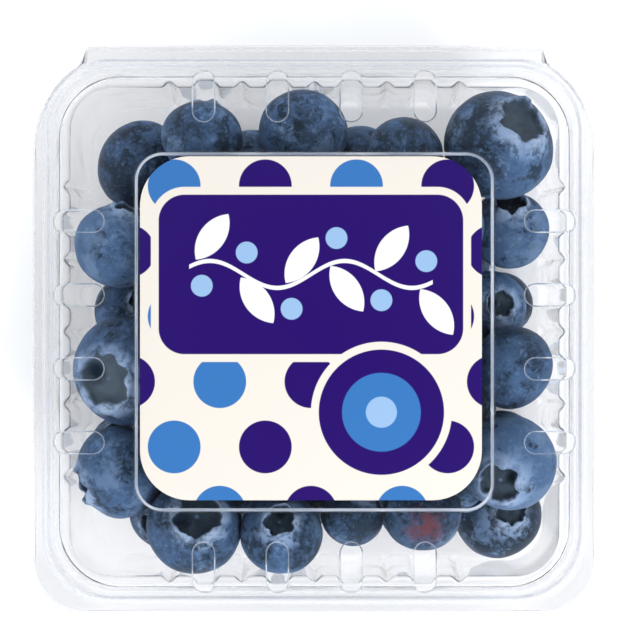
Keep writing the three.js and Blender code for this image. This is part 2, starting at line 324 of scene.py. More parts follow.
def placed(name: str, bm: BMesh, smooth_below: float = SHARP) -> Object:
    """Turns a bmesh in millimetres into an object in metres at the origin.

    Args:
        name: the object's name.
        bm: the mesh, which is freed.
        smooth_below: the angle in degrees up to which edges are shaded smooth.
    Returns:
        The linked object.
    """
    bmesh.ops.scale(bm, vec=(MM, MM, MM), verts=bm.verts)
    mesh = bpy.data.meshes.new(name)
    bm.to_mesh(mesh)
    bm.free()
    mesh.shade_smooth()
    mesh.set_sharp_from_angle(angle=math.radians(smooth_below))
    obj = bpy.data.objects.new(name, mesh)
    bpy.context.scene.collection.objects.link(obj)
    return obj


def finish_where(obj: Object, finish: int, test: Callable[[Vector, Vector], bool]) -> None:
    """Gives a finish to the faces that pass a test of their middle in millimetres and their normal."""
    for face in obj.data.polygons:
        if test(face.center / MM, face.normal):
            face.material_index = finish


def dress(obj: Object, materials: Sequence[Material], slot: Slot, body: Body | None) -> None:
    """Gives a piece its materials and lets it ride on its body."""
    obj.data.materials.clear()
    for material in materials:
        obj.data.materials.append(material)
    if body is not None:
        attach(obj, body.value)
    log.info("%s: %d faces", obj.name, len(obj.data.polygons))


# ---- Shader nodes ----


class Graph:
    """A short hand for a tree of shader nodes."""

    def __init__(self, tree: bpy.types.NodeTree) -> None:
        """Starts on a tree."""
        self.tree = tree

    def node(self, kind: str, **settings: object) -> bpy.types.Node:
        """A new node of a kind with some of its settings."""
        made = self.tree.nodes.new(kind)
        for name, value in settings.items():
            setattr(made, name, value)
        return made

    def feed(self, target: Socket, value: object) -> None:
        """Sets an input from a socket, a number or a colour."""
        if isinstance(value, bpy.types.NodeSocket):
            self.tree.links.new(value, target)
        elif isinstance(value, tuple) and target.type == "RGBA":
            target.default_value = (*value, 1.0)
        else:
            target.default_value = value

    def fed(self, kind: str, result: str, given: dict[str, object], **settings: object) -> Socket:
        """One output of a new node whose named inputs are set."""
        made = self.node(kind, **settings)
        for name, value in given.items():
            self.feed(made.inputs[name], value)
        return made.outputs[result]

    def math(self, operation: str, *values: object) -> Socket:
        """One step of arithmetic."""
        made = self.node("ShaderNodeMath", operation=operation)
        for socket, value in zip(made.inputs, values):
            self.feed(socket, value)
        return made.outputs[0]

    def add(self, first: object, second: object) -> Socket:
        """A sum."""
        return self.math("ADD", first, second)

    def sub(self, first: object, second: object) -> Socket:
        """A difference."""
        return self.math("SUBTRACT", first, second)

    def mul(self, first: object, second: object) -> Socket:
        """A product."""
        return self.math("MULTIPLY", first, second)

    def weigh(self, *terms: tuple[object, float]) -> Socket:
        """The sum of some values, each times its weight."""
        total, *others = [self.mul(value, weight) for value, weight in terms]
        for part in others:
            total = self.add(total, part)
        return total

    def length(self, x: Socket, y: Socket) -> Socket:
        """The length of a flat vector."""
        return self.math("SQRT", self.add(self.mul(x, x), self.mul(y, y)))

    def past(self, x: Socket, y: Socket, half_x: float, half_y: float) -> Socket:
        """How far a place lies outside a box round the middle, and 0 inside it."""
        over = (self.sub(self.math("ABSOLUTE", at), half) for at, half in ((x, half_x), (y, half_y)))
        return self.length(*(self.math("MAXIMUM", way, 0.0) for way in over))

    def ramp(self, value: Socket, low: float, high: float, start: float = 0.0, end: float = 1.0) -> Socket:
        """A smooth step from start to end as a value goes from low to high."""
        given = {"Value": value, "From Min": low, "From Max": high, "To Min": start, "To Max": end}
        return self.fed("ShaderNodeMapRange", "Result", given, interpolation_type="SMOOTHSTEP", clamp=True)

    def within(self, value: Socket, limit: float, blur: float) -> Socket:
        """A mask of where a value is below a limit."""
        return self.ramp(value, limit - blur, limit + blur, 1.0, 0.0)

    def mix(self, factor: object, first: object, second: object) -> Socket:
        """One colour over another."""
        made = self.node("ShaderNodeMix", data_type="RGBA", clamp_factor=True)
        for index, value in ((0, factor), (6, first), (7, second)):
            self.feed(made.inputs[index], value)
        return made.outputs[2]

    def noise(self, vector: Socket, cloud: Cloud, w: Socket | None = None) -> Socket:
        """A cloud of noise, in three dimensions or four."""
        given = {"Vector": vector, **dict(zip(("Scale", "Detail", "Roughness"), cloud))}
        if w is None:
            return self.fed("ShaderNodeTexNoise", "Fac", given, noise_dimensions="3D")
        return self.fed("ShaderNodeTexNoise", "Fac", {**given, "W": w}, noise_dimensions="4D")

    def drift(self, vector: Socket, scale: float, reach: float) -> Socket:
        """A place pushed about by a cloud of noise, so that patches get torn edges."""
        push = self.fed("ShaderNodeTexNoise", "Color", {"Vector": vector, "Scale": scale, "Detail": 2.0})
        steps = ("SUBTRACT", 1, (0.5, 0.5, 0.5)), ("SCALE", "Scale", reach), ("ADD", 1, vector)
        for operation, other, value in steps:
            made = self.node("ShaderNodeVectorMath", operation=operation)
            self.feed(made.inputs[0], push)
            self.feed(made.inputs[other], value)
            push = made.outputs[0]
        return push

    def bump(self, height: Socket, distance: float) -> Socket:
        """A normal bent by a height in metres."""
        return self.fed("ShaderNodeBump", "Normal", {"Height": height, "Distance": distance, "Strength": 1.0})

    def place(self) -> Socket:
        """The place on the piece, in metres."""
        return self.node("ShaderNodeTexCoord").outputs["Object"]

    def split(self, vector: Socket) -> Sequence[Socket]:
        """The three parts of a vector."""
        made = self.node("ShaderNodeSeparateXYZ")
        self.feed(made.inputs[0], vector)
        return made.outputs

    def attribute(self, name: str) -> Socket:
        """A number kept at each point of the piece."""
        return self.node("ShaderNodeAttribute", attribute_name=name).outputs["Fac"]

    def principled(self, **inputs: object) -> Socket:
        """A Principled shader whose sockets are named by words joined with underscores."""
        given = {name.replace("_", " "): value for name, value in inputs.items()}
        return self.fed("ShaderNodeBsdfPrincipled", "BSDF", given)


@dataclass(frozen=True)
class Finish:
    """What every finish shares: it makes a material of its shader."""

    name: str

    def material(self) -> Material:
        """The finish as a material."""
        material = bpy.data.materials.new(self.name)
        material.use_nodes = True
        material.node_tree.nodes.clear()
        graph = Graph(material.node_tree)
        graph.feed(graph.node("ShaderNodeOutputMaterial").inputs["Surface"], self.shader(graph))
        return material

    def shader(self, graph: Graph) -> Socket:
        """The finish's shader."""
        raise NotImplementedError


class SheetRipple:
    """A group that gives the small waves of a formed sheet as a height."""

    name = "sheet ripple"
    clouds = {"Wave": (95.0, 1.5, 0.4), "Fine": (420.0, 2.0, 0.5)}

    @classmethod
    def place(cls, graph: Graph, wave: float, fine: float) -> Socket:
        """Puts the group into a material.

        Args:
            graph: the material's nodes.
            wave: how much of the broad waves there is.
            fine: how much of the fine draw marks there is.
        Returns:
            The height, from 0 to about 1.
        """
        group = bpy.data.node_groups.get(cls.name) or cls._build()
        return graph.fed("ShaderNodeGroup", "Height", {"Wave": wave, "Fine": fine}, node_tree=group)

    @classmethod
    def _build(cls) -> bpy.types.NodeTree:
        """The group's nodes."""
        group = bpy.data.node_groups.new(cls.name, "ShaderNodeTree")
        for socket in cls.clouds:
            group.interface.new_socket(socket, in_out="INPUT", socket_type="NodeSocketFloat")
        group.interface.new_socket("Height", in_out="OUTPUT", socket_type="NodeSocketFloat")
        graph = Graph(group)
        given, place = graph.node("NodeGroupInput"), graph.place()
        parts = [graph.mul(graph.noise(place, cls.clouds[name]), given.outputs[name]) for name in cls.clouds]
        graph.feed(graph.node("NodeGroupOutput").inputs["Height"], graph.add(*parts))
        return group


@dataclass(frozen=True)
class ClearSheet(Finish):
    """Clear formed plastic, through which lamps reach what is inside."""

    tint: Colour
    roughness: float = 0.02
    clearness: float = 1.0
    ior: float = 1.25
    wave: float = 1.0
    fine: float = 0.05
    ripple: float = 0.00012

    @staticmethod
    def bend_highlight(name: str) -> ClearSheet:
        """The sheet where it is bent: hazier, with a pale share that is a painted highlight along the bend.
        """
        return ClearSheet(name, (0.80, 0.81, 0.835), 0.14, 0.76)

    def shader(self, graph: Graph) -> Socket:
        """The finish's shader."""
        shader = graph.principled(
            Base_Color=self.tint,
            Roughness=self.roughness,
            IOR=self.ior,
            Transmission_Weight=self.clearness,
            Normal=graph.bump(SheetRipple.place(graph, self.wave, self.fine), self.ripple),
        )
        through = graph.node("ShaderNodeBsdfTransparent").outputs[0]
        path = graph.node("ShaderNodeLightPath")
        for ray in ("Is Diffuse Ray", "Is Shadow Ray"):
            mixed = graph.node("ShaderNodeMixShader")
            for index, value in enumerate((path.outputs[ray], shader, through)):
                graph.feed(mixed.inputs[index], value)
            shader = mixed.outputs[0]
        return shader


@dataclass(frozen=True)
class BentSheet(Finish):
    """The same plastic where it is bent hard or cut, given a pale bluish white: a painted highlight along the
    bend and the cut edge.
    """

    # the pale colour of the painted highlight
    white: Colour
    roughness: float
    transmission: float
    ior: float = 1.48
    shade: float = 0.85
    marks: Cloud = (160, 3.0, 0.6)

    def shader(self, graph: Graph) -> Socket:
        """The finish's shader."""
        shaded = tuple(self.shade * part for part in self.white)
        return graph.principled(
            Base_Color=graph.mix(graph.noise(graph.place(), self.marks), shaded, self.white),
            Roughness=self.roughness,
            IOR=self.ior,
            Transmission_Weight=self.transmission,
        )


@dataclass(frozen=True)
class BerrySkin(Finish):
    """Dark blue skin under a mottled bloom, pale round the crown, with a blue-grey crown inside. The pale
    ring and lobe crests are paler towards the key lamp, a painted highlight, and the crown's pit is darkened,
    partly as painted shade.
    """

    dark: Colour = (0.006, 0.012, 0.020)
    skin: Colour = (0.015, 0.028, 0.050)
    bloom: Colour = (0.055, 0.108, 0.212)
    cloud: Colour = (0.118, 0.190, 0.312)
    pale: Colour = (0.195, 0.285, 0.450)
    lobe: Colour = (0.270, 0.360, 0.500)
    # near-black in the crown's pit: partly the calyx's dark middle, partly painted shade of the hollow
    pit: Colour = (0.009, 0.020, 0.036)
    disc: Colour = (0.066, 0.092, 0.122)
    blush: Colour = (0.115, 0.040, 0.052)
    broad: Cloud = (85, 2.0, 0.5)
    patch: Cloud = (300, 5.0, 0.62)
    fleck: Cloud = (1250, 4.0, 0.65)
    rubbed: Cloud = (210, 4.0, 0.68)
    soft: Cloud = (150, 4.0, 0.58)
    tear: Span = (300, 0.0022)  # the scale and the reach of what tears the patches' edges
    seed_spread: float = 40.0

    def shader(self, graph: Graph) -> Socket:
        """The finish's shader, laid up from the bare skin to the crown."""
        place, ramp, mul = graph.place(), graph.ramp, graph.mul
        marks = ("tone", "crown", "hollow", "lobe", "dusted", "red", "disc")
        tone, crown, hollow, lobe, dusted, red, disc = map(graph.attribute, marks)
        seed = mul(tone, self.seed_spread)
        torn = graph.drift(place, *self.tear)
        clouds = (self.patch, self.fleck, self.soft)
        patch, fleck, soft = (graph.noise(torn, cloud, seed) for cloud in clouds)
        broad = graph.noise(place, self.broad, seed)
        rubbed = graph.noise(torn, self.rubbed, graph.add(seed, 9.0))
        cover = ramp(graph.weigh((broad, 0.40), (patch, 0.33), (fleck, 0.27), (dusted, 0.11)), 0.42, 0.59)
        clouded = graph.weigh((soft, 0.78), (fleck, 0.22), (dusted, 0.045))
        inner = graph.weigh((disc, 0.62), (patch, 0.5), (fleck, 0.25))
        colour = self.skin
        for mask, over in (
            (cover, self.bloom),
            (mul(ramp(rubbed, 0.53, 0.62), 0.75), self.dark),
            (mul(ramp(clouded, 0.52, 0.645), 0.72), self.cloud),
            # pale bloom round the crown and on the lobes' crests; the build makes both masks paler on the
            # side facing the key lamp, a painted highlight
            (mul(mul(ramp(crown, 0.58, 1.0), ramp(patch, 0.46, 0.55)), 0.88), self.pale),
            (mul(lobe, ramp(fleck, 0.30, 0.60)), self.lobe),
            (mul(ramp(fleck, 0.57, 0.70), 0.30), self.pale),
            (mul(red, ramp(patch, 0.40, 0.56)), self.blush),
            # The crown's hollow runs from the disc colour to the near-black pit colour and is darkest in its
            # pit: partly the calyx's own dark middle, partly painted shade of the hollow.
            (hollow, graph.mix(ramp(inner, 0.42, 0.92), self.pit, self.disc)),
        ):
            colour = graph.mix(mask, colour, over)
        return graph.principled(
            Base_Color=colour,
            Roughness=ramp(cover, 0.0, 1.0, 0.44, 0.70),
            Specular_IOR_Level=0.12,
            Sheen_Weight=0.025,
            Sheen_Roughness=0.4,
            Normal=graph.bump(graph.weigh((patch, 0.7), (fleck, 0.3)), 0.00025),
        )


@dataclass(frozen=True)
class Drawing:
    """Masks of flat shapes on a printed face, from the two coordinates of a place on it."""

    graph: Graph
    x: Socket
    y: Socket
    blur: float

    def off(self, centre: Span) -> list[Socket]:
        """The place as seen from a centre."""
        return [self.graph.sub(way, at) for way, at in zip((self.x, self.y), centre)]

    def box(self, centre: Span, half: Span, corner: float) -> Socket:
        """A rounded box."""
        far = self.graph.past(*self.off(centre), half[0] - corner, half[1] - corner)
        return self.graph.within(far, corner, self.blur)

    def disc(self, centre: Span, radius: float) -> Socket:
        """A disc."""
        return self.graph.within(self.graph.length(*self.off(centre)), radius, self.blur)

    def leaf(self, centre: Span, turn: float, length: float, width: float) -> Socket:
        """A pointed leaf, where two large discs overlap.

        Args:
            centre: its middle.
            turn: how it is turned.
            length: half its length.
            width: half its width.
        Returns:
            The mask.
        """
        radius = (length * length + width * width) / (2 * width)
        x, y = -math.sin(turn) * (radius - width), math.cos(turn) * (radius - width)
        return self.graph.mul(*(self.disc((centre[0] + s * x, centre[1] + s * y), radius) for s in (1, -1)))


@dataclass(frozen=True)
class LabelPrint(Finish):
    """A satin sticker: dots on cream, a deep purple field with a leafy sprig, and a plain disc."""

    x: float
    y: float
    cream: Colour = (0.72, 0.672, 0.61)
    purple: Colour = (0.017, 0.002, 0.120)
    blue: Colour = (0.035, 0.155, 0.42)
    sky: Colour = (0.27, 0.43, 0.65)
    white: Colour = (0.76, 0.76, 0.77)
    blur: float = 0.09
    keyline: float = 1.5
    banner: Span = (0.0, 10.4)
    banner_half: Span = (29.4, 15.4)
    banner_corner: float = 5.0
    dots: tuple = (17.6, 12.6, 5.1, 4.0)  # spacing across and down, radius, and how far down the rows start
    wave: float = 2.6
    wave_length: float = 26.0
    stem_half: float = 23.5
    stem_width: float = 0.8
    sprigs: int = 6
    leaf: Span = (5.4, 2.5)
    leaf_off: Span = (2.6, 5.0)
    leaf_turn: float = 0.95
    fruit: float = 2.1
    fruit_off: Span = (0.6, 4.6)
    target_at: Span = (13.6, -16.2)
    target: tuple = ((13.6, "cream"), (12.1, "purple"), (7.6, "blue"), (3.0, "sky"))
    tooth: Cloud = (1800, 3.0, 0.6)

    def shader(self, graph: Graph) -> Socket:
        """The finish's shader."""
        place = graph.place()
        ways = zip(graph.split(place), (self.x, self.y))
        x, y = (graph.sub(graph.math("DIVIDE", way, MM), at) for way, at in ways)
        drawing = Drawing(graph, x, y, self.blur)
        colour = self._dotted(drawing)
        for mask, ink in self._shapes(drawing):
            colour = graph.mix(mask, colour, ink)
        tooth = graph.noise(place, self.tooth)
        return graph.principled(
            Base_Color=colour,
            Roughness=graph.ramp(tooth, 0.2, 0.8, 0.36, 0.46),
            Specular_IOR_Level=0.15,
            Normal=graph.bump(tooth, 0.00001),
        )

    def _dotted(self, drawing: Drawing) -> Socket:
        """The ground: large dots in staggered rows, purple and blue by turns."""
        graph, (across, down, radius, start) = drawing.graph, self.dots
        rise = graph.math("DIVIDE", graph.add(drawing.y, start), down)
        row = graph.math("FLOOR", rise)
        shift = graph.mul(graph.math("MODULO", graph.math("ABSOLUTE", row), 2.0), across / 2)
        run = graph.math("DIVIDE", graph.add(drawing.x, shift), across)
        column = graph.math("FLOOR", run)
        dx = graph.mul(graph.sub(graph.sub(run, column), 0.5), across)
        dy = graph.mul(graph.sub(graph.sub(rise, row), 0.5), down)
        kind = graph.math("MODULO", graph.math("ABSOLUTE", graph.add(column, row)), 2.0)
        dot = graph.within(graph.length(dx, dy), radius, self.blur)
        return graph.mix(dot, self.cream, graph.mix(kind, self.blue, self.purple))

    def _shapes(self, drawing: Drawing) -> Iterator[tuple[Socket, Colour]]:
        """The shapes over the dots, each with its ink, from the lowest up."""
        for grown, ink in ((self.keyline, self.cream), (0.0, self.purple)):
            half = (self.banner_half[0] + grown, self.banner_half[1] + grown)
            yield drawing.box(self.banner, half, self.banner_corner + grown), ink
        yield self._stem(drawing), self.white
        along, out = self.leaf_off
        for x, side in self._sprigs():
            centre = (x + along, self._stem_y(x) + side * out)
            yield drawing.leaf(centre, side * self.leaf_turn, *self.leaf), self.white
        along, out = self.fruit_off
        for x, side in self._sprigs():
            yield drawing.disc((x + along, self._stem_y(x + along) - side * out), self.fruit), self.sky
        for radius, ink in self.target:
            yield drawing.disc(self.target_at, radius), getattr(self, ink)

    def _stem(self, drawing: Drawing) -> Socket:
        """A mask of the wavy stem."""
        graph = drawing.graph
        line = graph.mul(graph.math("SINE", graph.mul(drawing.x, 2 * math.pi / self.wave_length)), self.wave)
        off = graph.math("ABSOLUTE", graph.sub(graph.sub(drawing.y, self.banner[1]), line))
        along = graph.math("LESS_THAN", graph.math("ABSOLUTE", drawing.x), self.stem_half)
        return graph.mul(graph.within(off, self.stem_width / 2, self.blur), along)

    def _stem_y(self, x: float) -> float:
        """How high the stem is at a place across the label."""
        return self.banner[1] + self.wave * math.sin(2 * math.pi * x / self.wave_length)

    def _sprigs(self) -> Iterator[tuple[float, int]]:
        """Places along the stem, each with the side that its leaf is on. Its fruit is on the other."""
        for number in range(self.sprigs):
            yield (number - (self.sprigs - 1) / 2) * self.wave_length / 3, -1 if number % 2 else 1


@dataclass(frozen=True)
class LabelBack(Finish):
    """The sticker's plain white back, which shows through the lid from inside."""

    paper: Colour = (0.58, 0.58, 0.575)
    fibre: Colour = (0.64, 0.64, 0.635)
    tooth: Cloud = (900, 4.0, 0.65)

    def shader(self, graph: Graph) -> Socket:
        """The finish's shader."""
        tooth = graph.noise(graph.place(), self.tooth)
        return graph.principled(
            Base_Color=graph.mix(graph.ramp(tooth, 0.35, 0.65), self.paper, self.fibre),
            Roughness=graph.ramp(tooth, 0.2, 0.8, 0.55, 0.70),
            Specular_IOR_Level=0.2,
            Normal=graph.bump(tooth, 0.00001),
        )


# ---- The tray and the lid ----


@dataclass
class Sheet:
    """What the tray and the lid share: a flange with a bead round it and a turned-down edge."""

    thickness: float
    flange_z: float
    bead: tuple[float, float, float, float]
    bead_corner: float
    bead_rise: float
    rim: Outline
    lip: float
    arc_steps: int
    bead_growth: tuple = (0.0, 0.35, 0.7, 1.05)

    def stations(self) -> list[float]:
        """The places along a side."""
        raise NotImplementedError

    def rings(self, *shapes: tuple[Outline, float]) -> list[np.ndarray]:
        """The key lines of some outlines at their heights."""
        places = self.stations()
        return [shape.line(z, places, self.arc_steps) for shape, z in shapes]

    def edge(self) -> list[np.ndarray]:
        """The key lines of the bead and of the rim."""
        low, high = self.flange_z, self.flange_z + self.bead_rise
        corners = [self.bead_corner + grown for grown in self.bead_growth]
        bead = zip(map(Outline.square, self.bead, corners), (low, high, high, low))
        return self.rings(*bead, (self.rim, low), (self.rim, low - self.lip))

    def on_bead(self, place: Vector, normal: Vector, slack: float) -> bool:
        """Whether a place is on the bead's sides."""
        reach = max(abs(place.x), abs(place.y))
        return place.z > self.flange_z - 0.1 and abs(normal.z) < 0.9 and reach > self.bead[0] - slack


@dataclass
class Tray(Sheet):
    """The lower half: a flat floor, fluted walls, and a flange with a bead round it."""

    thickness: float = 0.22
    flange_z: float = 27.98
    bead: tuple[float, float, float, float] = (52.05, 52.45, 52.85, 53.25)
    bead_corner: float = 12.7
    bead_rise: float = 0.55
    rim: Outline = Outline(55.2, 55.2, 55.2, 9.2, 19.7, hinge_half=44.8)
    lip: float = 0.7
    arc_steps: int = 16
    floor: Span = (36.0, 2.0)  # half side and corner
    floor_half: float = 45.4
    mouth_half: float = 48.5
    corner: float = 8.5
    flutes: Flutes = Flutes()
    fluted_half: float = 33.0
    step: float = 0.55
    bends: tuple = (2.2, 1.8, 0.3, 0.3, 0.3, 0.3, 0.35)

    def stations(self) -> list[float]:
        """The places along a side, close together where the flutes are."""
        half = self.fluted_half
        count = round(2 * half / self.step)
        return [-half + 2 * half * k / count for k in range(count + 1)]

    def build(self, *finishes: Material) -> Object:
        """Makes the tray.

        Args:
            finishes: the clear plastic, and the plastic where it is bent, with a painted highlight.
        Returns:
            The dressed tray.
        """
        keys = self.rings(
            (Outline.square(*self.floor), 0.0),
            (Outline.square(self.floor_half, self.corner, self.flutes), 0.0),
            (Outline.square(self.mouth_half, self.corner, self.flutes), self.flange_z),
        )
        bm = lofted(rounded_run([*keys, *self.edge()], self.bends))
        thickened(bm, self.thickness, -1.0)
        obj = placed("tray_sheet", bm)
        dress(obj, finishes, Slot.TRAY, Body.TRAY)
        # painted highlight on the bead's sides
        finish_where(obj, Plastic.BEND_HIGHLIGHT, lambda place, normal: self.on_bead(place, normal, 0.3))
        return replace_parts(obj, "tray")


@dataclass
class Lid(Sheet):
    """The upper half: a flange that sits on the tray's, a low dome, a raised panel and the vents."""

    thickness: float = 0.3
    flange_z: float = 29.3
    bead: tuple[float, float, float, float] = (51.8, 52.35, 53.0, 53.55)
    bead_corner: float = 12.5
    bead_rise: float = 0.55
    rim: Outline = Outline(54.9, 54.9, 55.5, 10.2, 20.0, hinge_half=44.8)
    lip: float = 0.7
    arc_steps: int = 18
    dome_foot: float = 51.2
    dome_top: float = 49.3
    dome_corner: float = 12.0
    deck_z: float = 37.3
    panel: Span = (30.0, 2.0)  # half side and corner
    panel_half: float = 34.8
    panel_lean: float = 0.45
    panel_corner: Span = (5.0, 5.6)  # at the top and at the foot
    panel_z: float = 38.8
    # half the height of the band of the panel's wall that carries the painted highlight
    highlight_half: float = 0.5
    vent_pitch: float = 14.3
    vent_radius: float = 1.95
    vent_flare: float = 0.62
    vent_inner: float = 40.9
    vent_outer: float = 51.1
    vent_low: float = 30.0
    vent_sides: int = 26
    roll: float = 0.17
    roll_end: float = 80.0
    roll_steps: int = 8
    bends: tuple = (0.45, 0.45, 0.9, 0.3, 0.3, 0.35, 0.35, 0.3, 0.35)

    def stations(self) -> list[float]:
        """The places along a side."""
        return [-27.0 + 1.5 * k for k in range(37)]

    def build(self, *finishes: Material) -> Object:
        """Makes the lid with its vents cut.

        Args:
            finishes: the clear plastic; the plastic where it is bent, with a painted highlight; the panel's
                low wall, in a
            pale painted highlight; the cut edges, in a pale painted highlight; and where it is rolled or
            creased, greyed as painted shade.
        Returns:
            The dressed lid.
        """
        keys = self.rings(
            (Outline.square(*self.panel), self.panel_z),
            (Outline.square(self.panel_half - self.panel_lean, self.panel_corner[0]), self.panel_z),
            (Outline.square(self.panel_half, self.panel_corner[1]), self.deck_z),
            (Outline.square(self.dome_top, self.dome_corner), self.deck_z),
            (Outline.square(self.dome_foot, self.dome_corner), self.flange_z),
        )
        bm = lofted(rounded_run([*keys, *self.edge()], self.bends))
        thickened(bm, self.thickness, 1.0)
        obj = placed("lid_sheet", bm)
        self._cut_vents(obj)
        dress(obj, finishes, Slot.LID, Body.LID)
        # the bends get a pale painted highlight
        finish_where(obj, Plastic.BEND_HIGHLIGHT, self._bend_highlit)
        # the panel's low wall gets a pale painted highlight
        finish_where(obj, Plastic.PANEL_HIGHLIGHT, self._panel_wall)
        # the vents' cut edges get a pale painted highlight
        finish_where(obj, Plastic.CUT, self._cut)
        # the crease gets a darker grey, painted shade
        finish_where(obj, Plastic.ROLLED, self._creased)
        self._roll_vents(obj)
        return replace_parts(obj, "lid")

    def _bend_highlit(self, place: Vector, normal: Vector) -> bool:
        """Whether a place gets the bends' painted highlight: on the dome's roundings and on the bead's sides.
        """
        reach = max(abs(place.x), abs(place.y))
        turned = place.z < self.flange_z + 0.9 or self.deck_z - 1.4 < place.z < self.deck_z - 0.05
        side = turned and self.dome_top - 0.6 < reach < self.bead[0] and 0.3 < abs(normal.z) < 0.97
        return side or self.on_bead(place, normal, 0.2)

    def _panel_wall(self, place: Vector, normal: Vector) -> bool:
        """Whether a place is on the raised panel's low wall, which gets a painted highlight."""
        return abs(place.z - (self.deck_z + self.panel_z) / 2) < self.highlight_half and abs(normal.z) < 0.8

    def _creased(self, place: Vector, normal: Vector) -> bool:
        """Whether a place is on the crease in front of the hinge, the outer side of the bead at the back,
        which is greyed as painted shade.
        """
        return place.y > self.bead[2] and place.z > self.flange_z - 0.1 and 0.1 < abs(normal.z) < 0.9

    def _cut(self, place: Vector, normal: Vector) -> bool:
        """Whether a place is on the cut edge of a vent in the deck, which gets a pale painted highlight."""
        along, reach = sorted((abs(place.x), abs(place.y)))
        radius = self.vent_radius
        off = along - self.vent_pitch * (0.5 if along < self.vent_pitch else 1.5)
        past = max(self.vent_inner + radius - reach, reach - self.vent_outer + radius, 0.0)
        edge = abs(math.hypot(off, past) - radius) < self.vent_flare
        return edge and self.deck_z - self.thickness < place.z < self.deck_z and 0.1 < abs(normal.z) < 0.95

    def _vents(self) -> Iterator[tuple[Matrix, float]]:
        """The turn of each vent's side, and how far along the side the vent is."""
        for side in range(4):
            for place in range(4):
                yield Matrix.Rotation(side * math.pi / 2, 3, "Z"), (place - 1.5) * self.vent_pitch

    def _cut_vents(self, obj: Object) -> None:
        """Cuts the round-ended vents through the deck and down the dome's side."""
        cutter = placed("vent_cutter", self._cutter())
        modifier = obj.modifiers.new("vents", "BOOLEAN")
        modifier.operation = "DIFFERENCE"
        modifier.solver = "MANIFOLD"
        modifier.object = cutter
        spent = obj.data, cutter.data
        evaluated = obj.evaluated_get(bpy.context.evaluated_depsgraph_get())
        mesh = bpy.data.meshes.new_from_object(evaluated)
        obj.modifiers.clear()
        obj.data = mesh
        bpy.data.objects.remove(cutter)
        for old in spent:
            bpy.data.meshes.remove(old)
        mesh.shade_smooth()
        mesh.set_sharp_from_angle(angle=math.radians(SHARP))

    def _cutter(self) -> BMesh:
        """All the vents as one mesh of prisms, which flare a little at the deck."""
        bm = bmesh.new()
        radius = self.vent_radius
        near, far = self.vent_inner + radius, self.vent_outer - radius
        heights = (self.deck_z - self.thickness - 0.1, 0.0), (self.deck_z + 0.3, self.vent_flare)
        for turn, along in self._vents():
            made = bmesh.ops.create_circle(bm, cap_ends=True, radius=radius, segments=self.vent_sides)
            verts = made["verts"]
            for vert in verts:
                vert.co = Vector((vert.co.x + (far if vert.co.x > 0 else near), vert.co.y, self.vent_low))
            face = verts[0].link_faces[0]
            moved = set(verts)
            for z, flare in heights:
                made = bmesh.ops.extrude_face_region(bm, geom=[face])["geom"]
                if flare:
                    bmesh.ops.delete(bm, geom=[face], context="FACES_ONLY")
                face = next(f for f in made if isinstance(f, BMFace))
                for vert in face.verts:
                    spine = Vector((min(max(vert.co.x, near), far), 0.0))
                    out = (vert.co.xy - spine).normalized() * flare
                    vert.co = Vector((vert.co.x + out.x, vert.co.y + out.y, z))
                moved.update(face.verts)
            for vert in moved:
                vert.co.y += along
                vert.co = turn @ vert.co
        bmesh.ops.recalc_face_normals(bm, faces=bm.faces)
        return bm

    def _roll_vents(self, obj: Object) -> None:
        """Rolls the edge of each vent where it runs down the dome's side, and greys the roll as painted
        shade.
        """
        bm = bmesh.new()
        bm.from_mesh(obj.data)
        radius = self.vent_radius
        fall = (self.deck_z - self.flange_z) / (self.dome_foot - self.dome_top)
        for turn, along in self._vents():
            path = []
            for k in range(-self.roll_steps, self.roll_steps + 1):
                angle = math.radians(self.roll_end) * k / self.roll_steps
                out = self.vent_outer - radius + radius * math.cos(angle)
                z = self.deck_z - self.thickness / 2 - max(out - self.dome_top, 0.0) * fall
                path.append(turn @ Vector((out, along + radius * math.sin(angle), z)) * MM)
            for face in tube(bm, path, self.roll * MM):
                face.material_index = Plastic.ROLLED
                face.smooth = True
        bm.to_mesh(obj.data)
        bm.free()


